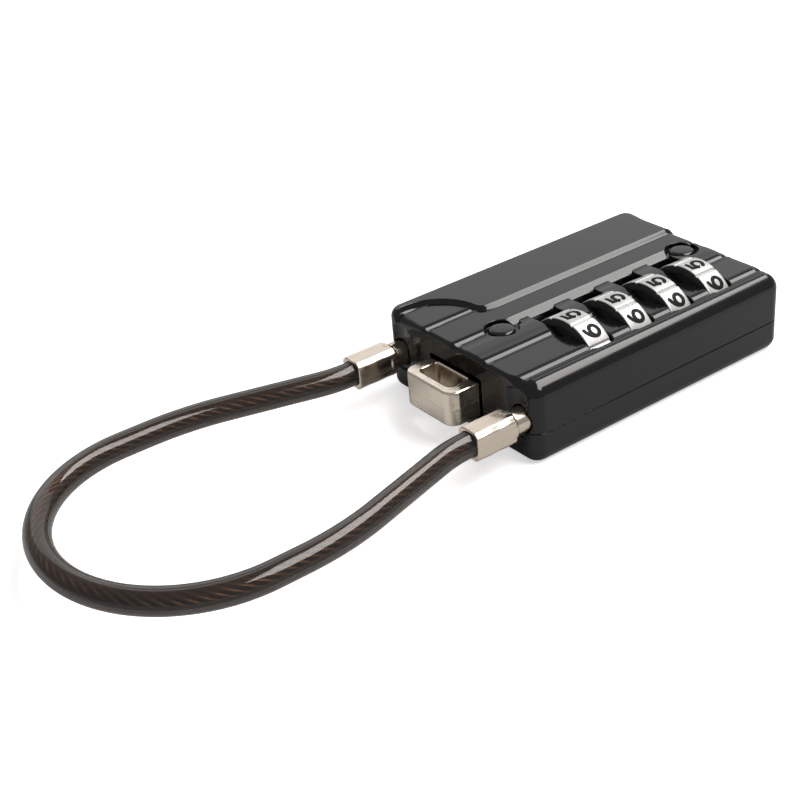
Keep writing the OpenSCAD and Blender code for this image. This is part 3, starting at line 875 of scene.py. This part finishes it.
def slider_shape(x, y, z):
    out, eye_in = slider_low[0], -HALF_LENGTH + 0.1
    plan = plan_box(x, y, (out, EYE_Y - EYE_HALF), (eye_in, EYE_Y + EYE_HALF), 2.0, 0.4)
    hole = plan_box(x, y, (out + EYE_WALL, EYE_Y - HOLE_HALF), (eye_in - 0.65, EYE_Y + HOLE_HALF), 1.0, 0.45)
    parting = 0.03 * np.exp(-((z - sum(EYE_Z) / 2) / 0.1) ** 2)
    eye = rmax(rmax(plan - parting, slab(z, *EYE_Z), 0.38), -hole, 0.32)
    tongue = block(x, y, z, (eye_in - 0.3, RIVET_Y - TONGUE_HALF, TONGUE_Z[0]),
                   (TONGUE_END, RIVET_Y + TONGUE_HALF, TONGUE_Z[1]), 0.15)
    slot = np.hypot(y - RIVET_Y, np.maximum(RIVET_X[0] - 3 - x, 0) + np.maximum(x - RIVET_X[0], 0)) - 2.2
    yoke = block(x, y, z, (YOKE_X[0], AXIS_Y, 6.5), (YOKE_X[1], RIVET_Y, 9.6), 0.15)
    ring = rod_x(x, y, z, (AXIS_Y, AXIS_Z), *YOKE_X, YOKE_R, 0.12)
    arm = np.maximum(np.minimum(tongue, yoke), -slot)
    bore = YOKE_BORE_R - np.hypot(y - AXIS_Y, z - AXIS_Z)
    carrier = np.maximum(np.minimum(arm, ring), bore)
    pin = np.maximum(post_z(x, y, z, (PIN_X, AXIS_Y), 4.0, 6.4, PIN_R, 0.1), bore)
    return np.minimum(np.minimum(eye, carrier), pin)


def build_slider():
    low, high = slider_low - 0.4, slider_high + 0.4
    thing = cast("slider_eye", slider_shape, low, high, 0.12, NICKEL, 120000)
    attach(thing, "slider")
    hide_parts("release_slider")


SPRING_TURNS = 3
SPRING_WIRE = 0.17


def build_spring():
    """The slider's coil spring, which in the lock is squashed against the case as the slider is pushed in;
    here it is built at its rest length and carried with the case.
    """
    low, high = corners("slider_spring")
    reach = (high[1] - low[1]) / 2 - SPRING_WIRE
    steps, sides = 220, 12
    turn = np.linspace(0, 2 * math.pi * SPRING_TURNS, steps)
    ring = np.arange(sides) * 2 * math.pi / sides
    rise = ramp(turn, math.pi, turn[-1] - math.pi) * 0.15 + 0.85 * turn / turn[-1]
    along = low[0] + SPRING_WIRE + (high[0] - low[0] - 2 * SPRING_WIRE) * rise
    rows = []
    for k in range(steps):
        radius = reach + SPRING_WIRE * np.cos(ring)
        rows.append(np.column_stack([along[k] + SPRING_WIRE * np.sin(ring),
                                     AXIS_Y + radius * math.cos(turn[k]),
                                     AXIS_Z + radius * math.sin(turn[k])]))
    faces = tube_faces(steps, sides)
    faces += [tuple(range(sides - 1, -1, -1)), tuple((steps - 1) * sides + j for j in range(sides))]
    thing = add_object("spring_coil", make_mesh("spring", np.concatenate(rows), faces), SPRING)
    tidy(thing)
    smooth_by_angle(thing, 50)
    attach(thing, "case")
    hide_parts("slider_spring")
    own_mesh(thing)


# ---------------------------------------------------------------- crimped sleeves

# the sleeve: its start inside the frame's box, the half sizes of its flats, and its round parts
SLEEVE_INSET = 0.45
FLAT_Y, FLAT_Z, FLAT_CHAMFER = 2.3, 2.45, 4.0
FLAT_LENGTH = 8.0
NECK_R, COLLAR_R = 2.15, 2.5
MOUTH_DEPTH = 2.5
PLUG_FROM, PLUG_R = -30.9, 1.2


def ferrule_shape(side):
    y0 = side * END_Y
    start = ferrule_low[0] + SLEEVE_INSET

    def shape(x, y, z):
        v, w = y - y0, z - END_Z
        flats = rmax(np.abs(v) - FLAT_Y, np.abs(w) - FLAT_Z, 0.1)
        chamfer = (np.abs(v) + np.abs(w) - FLAT_CHAMFER) / math.sqrt(2)
        flats = rmax(flats, chamfer, 0.12)
        wave = 0.03 * np.sin(x * 1.7 + 2 * side) * np.sin(v * 1.3 + 1)
        flats = rmax(flats + wave, slab(x, start, ferrule_low[0] + FLAT_LENGTH), 0.22)
        neck = rmax(np.hypot(v, w) - NECK_R, slab(x, ferrule_low[0] + 6, ferrule_high[0]), 0.1)
        collar = rmax(np.hypot(v, w) - COLLAR_R, slab(x, ferrule_low[0] + 6.9, ferrule_low[0] + 8.3), 0.3)
        body = rmin(np.minimum(flats, collar), neck, 0.2)
        mouth = rmax(np.hypot(v, w) - CABLE_R - 0.01, x - start - MOUTH_DEPTH, 0.05)
        bore = np.hypot(v, w) - np.where(x < PLUG_FROM, ROPE_R, PLUG_R)
        return np.maximum(rmax(body, -mouth, 0.12), -bore)

    return shape


def build_ferrules():
    for side, name, node, body in ((-1, "plug_sleeve", "plug_ferrule", "plug"),
                                   (1, "anchor_sleeve", "fixed_ferrule", "case")):
        low, high = corners(node)
        thing = cast(name, ferrule_shape(side), low - 0.4, high + 0.4, 0.1, FERRULE_NICKEL, 60000)
        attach(thing, body)
        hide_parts(node)


# ---------------------------------------------------------------- cable

# each half of the loop: out of the sleeve, a bend outwards, a straight run, a bend back, a last run
FLARE = math.atan2(7, 24)
FIRST_BEND, SECOND_BEND = 20, 48
MIDDLE_RUN, LAST_RUN = 15, 4.4


def cable_route(run_in, step=0.4):
    """Points along the cable from the fixed sleeve to the plug's sleeve, with headings."""
    outwards = (FIRST_BEND + SECOND_BEND) * (1 - math.cos(FLARE)) + MIDDLE_RUN * math.sin(FLARE)
    half = [(run_in, 0, 0), (None, FIRST_BEND, -FLARE), (MIDDLE_RUN, 0, 0),
            (None, SECOND_BEND, FLARE), (LAST_RUN, 0, 0)]
    back = [(a, r, t) for a, r, t in reversed(half)]
    place = np.array([ferrule_low[0] + run_in, END_Y])
    heading = math.pi
    points, headings = [place.copy()], [heading]
    for length, radius, turn in half + [(None, END_Y + outwards, math.pi)] + back:
        span = length if radius == 0 else radius * abs(turn)
        count = max(1, round(span / step))
        for _ in range(count):
            bend = turn / count
            middle = heading + bend / 2
            chord = span / count if radius == 0 else 2 * radius * math.sin(abs(bend) / 2)
            place = place + chord * np.array([math.cos(middle), math.sin(middle)])
            heading += bend
            points.append(place.copy())
            headings.append(heading)
    return np.array(points), np.array(headings)


def sweep(points, headings, offset_n, offset_z, radius, sides):
    """An open tube along the route; the offsets may change along it."""
    normal = np.stack([-np.sin(headings), np.cos(headings)], 1)
    turn = np.arange(sides) * 2 * math.pi / sides
    rows = []
    for k in range(len(points)):
        n = offset_n[k] + radius * np.cos(turn)
        flat = points[k] + n[:, None] * normal[k]
        rows.append(np.column_stack([flat, END_Z + offset_z[k] + radius * np.sin(turn)]))
    return np.concatenate(rows), tube_faces(len(points), sides)


# the rope: strands laid round a core, and the length of one turn of the lay
STRANDS, LAY, STRAND_R = 7, 13.5, 0.37


def build_cable():
    route, headings = cable_route(2.9)
    zero = np.zeros(len(route))
    outer, faces = sweep(route, headings, zero, zero, CABLE_R, 40)
    inner, inner_faces = sweep(route, headings, zero, zero, ROPE_R + 0.06, 40)
    count = len(outer)
    faces = faces + [tuple(count + v for v in reversed(f)) for f in inner_faces]
    last = count - 40
    for j in range(40):
        m = (j + 1) % 40
        faces.append((m, j, count + j, count + m))
        faces.append((last + j, last + m, count + last + m, count + last + j))
    mesh = make_mesh("sheath", np.concatenate([outer, inner]), faces)
    jacket = add_object("cable_sheath", mesh, SHEATH)
    tidy(jacket)
    smooth_by_angle(jacket)
    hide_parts("cable_jacket")

    route, headings = cable_route(6.6, 0.3)
    along = np.concatenate([[0], np.cumsum(np.linalg.norm(np.diff(route, axis=0), axis=1))])
    helix_r = ROPE_R - STRAND_R
    points, faces = [], []
    for k in range(STRANDS + 1):
        reach = helix_r if k < STRANDS else 0
        turn = 2 * math.pi * (k / STRANDS + along / LAY)
        verts, quads = sweep(route, headings, reach * np.cos(turn), reach * np.sin(turn),
                             STRAND_R if k < STRANDS else helix_r - STRAND_R + 0.1, 10)
        start = sum(len(p) for p in points)
        points.append(verts)
        faces += [tuple(start + v for v in f) for f in quads]
        faces.append(tuple(start + v for v in range(9, -1, -1)))
        faces.append(tuple(start + len(verts) - 10 + v for v in range(10)))
    rope = add_object("rope_strands", make_mesh("rope", np.concatenate(points), faces), ROPE)
    tidy(rope)
    smooth_by_angle(rope)
    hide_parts("wire_rope")
    for thing in (jacket, rope):
        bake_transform(thing)


# ---------------------------------------------------------------- inner parts, floor, light

def dress_frame():
    """Materials for the inner pieces that the frame itself shows."""
    looks = {"wheel_hub_1": BRASS, "wheel_hub_2": BRASS, "wheel_hub_3": BRASS, "wheel_hub_4": BRASS,
             "spindle": STEEL, "spindle_clip": SPRING, "detent_spring": SPRING,
             "locking_pawl": STEEL, "pawl_pin": STEEL, "locking_plug": STEEL, "cable_anchor": STEEL}
    for node, look in looks.items():
        for index in range(len(frame["nodes"][node].material_slots)):
            frame["nodes"][node].material_slots[index].material = look


# the floor's own light for the camera, which softens shadows, and its tone in reflections
FLOOR_GLOW = 0.55
FLOOR_SEEN_IN_GLOSS = 0.52


def build_floor():
    mesh = bpy.data.meshes.new("floor")
    reach = 3.0
    mesh.from_pydata([(-reach, -reach, 0), (reach, -reach, 0), (reach, reach, 0), (-reach, reach, 0)], [],
                     [(0, 1, 2, 3)])
    look, nodes, links, shader = new_look("pale floor")
    links.new(mix(nodes, links, noise(nodes, links, 3), (0.90, 0.90, 0.90), (0.93, 0.93, 0.93)),
              shader.inputs["Base Color"])
    shader.inputs["Roughness"].default_value = 0.9
    shader.inputs["Specular IOR Level"].default_value = 0.1
    shader.inputs["Emission Color"].default_value = (1, 1, 1, 1)
    path = nodes.new("ShaderNodeLightPath")
    links.new(spread(nodes, links, path.outputs["Is Camera Ray"], 0, FLOOR_GLOW, 0, 1),
              shader.inputs["Emission Strength"])
    dim = nodes.new("ShaderNodeBsdfDiffuse")
    dim.inputs["Color"].default_value = (FLOOR_SEEN_IN_GLOSS,) * 3 + (1,)
    choose = nodes.new("ShaderNodeMixShader")
    links.new(path.outputs["Is Glossy Ray"], choose.inputs["Fac"])
    links.new(shader.outputs["BSDF"], choose.inputs[1])
    links.new(dim.outputs["BSDF"], choose.inputs[2])
    links.new(choose.outputs["Shader"], nodes["Material Output"].inputs["Surface"])
    floor = add_object("floor", mesh, look)


def soft_light(name, direction, distance, width, height, radiance, colour=(1, 1, 1)):
    """A rectangular lamp that looks at the case, given its brightness as seen from there."""
    data = bpy.data.lights.new(name, "AREA")
    data.shape = "RECTANGLE"
    data.size, data.size_y = width, height
    data.energy = radiance * math.pi * width * height
    data.color = colour
    lamp = bpy.data.objects.new(name, data)
    towards = Vector(direction).normalized()
    lamp.location = towards * distance
    lamp.rotation_euler = (-towards).to_track_quat("-Z", "Y").to_euler()
    bpy.context.scene.collection.objects.link(lamp)


SKY = 0.30


def build_light():
    world = bpy.data.worlds.new("studio")
    world.use_nodes = True
    world.node_tree.nodes["Background"].inputs["Color"].default_value = (1, 1, 1, 1)
    world.node_tree.nodes["Background"].inputs["Strength"].default_value = SKY
    bpy.context.scene.world = world
    soft_light("overhead", (0.45, -0.25, 0.9), 0.7, 0.82, 0.34, 7.0, (1, 0.985, 0.96))
    soft_light("back wall", (0.486, 0.715, 0.45), 1.1, 1.5, 0.6, 0.65)
    bpy.context.scene.view_settings.view_transform = "Standard"


LENS = 65.47
CAMERA_PLACE = (-147.43, -159.99, 121.37)
CAMERA_RIGHT = (0.79717, -0.59838, -0.08041)
CAMERA_FORWARD = (0.48617, 0.71517, -0.50216)


def build_camera():
    """The view down on the ribbed side, from over the cable's near side."""
    data = bpy.data.cameras.new("camera")
    data.sensor_width = 36
    data.lens = LENS
    camera = bpy.data.objects.new("camera", data)
    right, forward = Vector(CAMERA_RIGHT), Vector(CAMERA_FORWARD)
    up = right.cross(forward)
    spin = Matrix((right, up, -forward)).transposed()
    camera.matrix_world = Matrix.Translation(Vector(CAMERA_PLACE) * MM) @ spin.to_4x4()
    bpy.context.scene.collection.objects.link(camera)
    bpy.context.scene.camera = camera


build_case()
build_rivets()
for wheel in range(4):
    build_wheel(wheel)
build_slider()
build_spring()
build_ferrules()
build_cable()
dress_frame()
build_floor()
build_light()
build_camera()
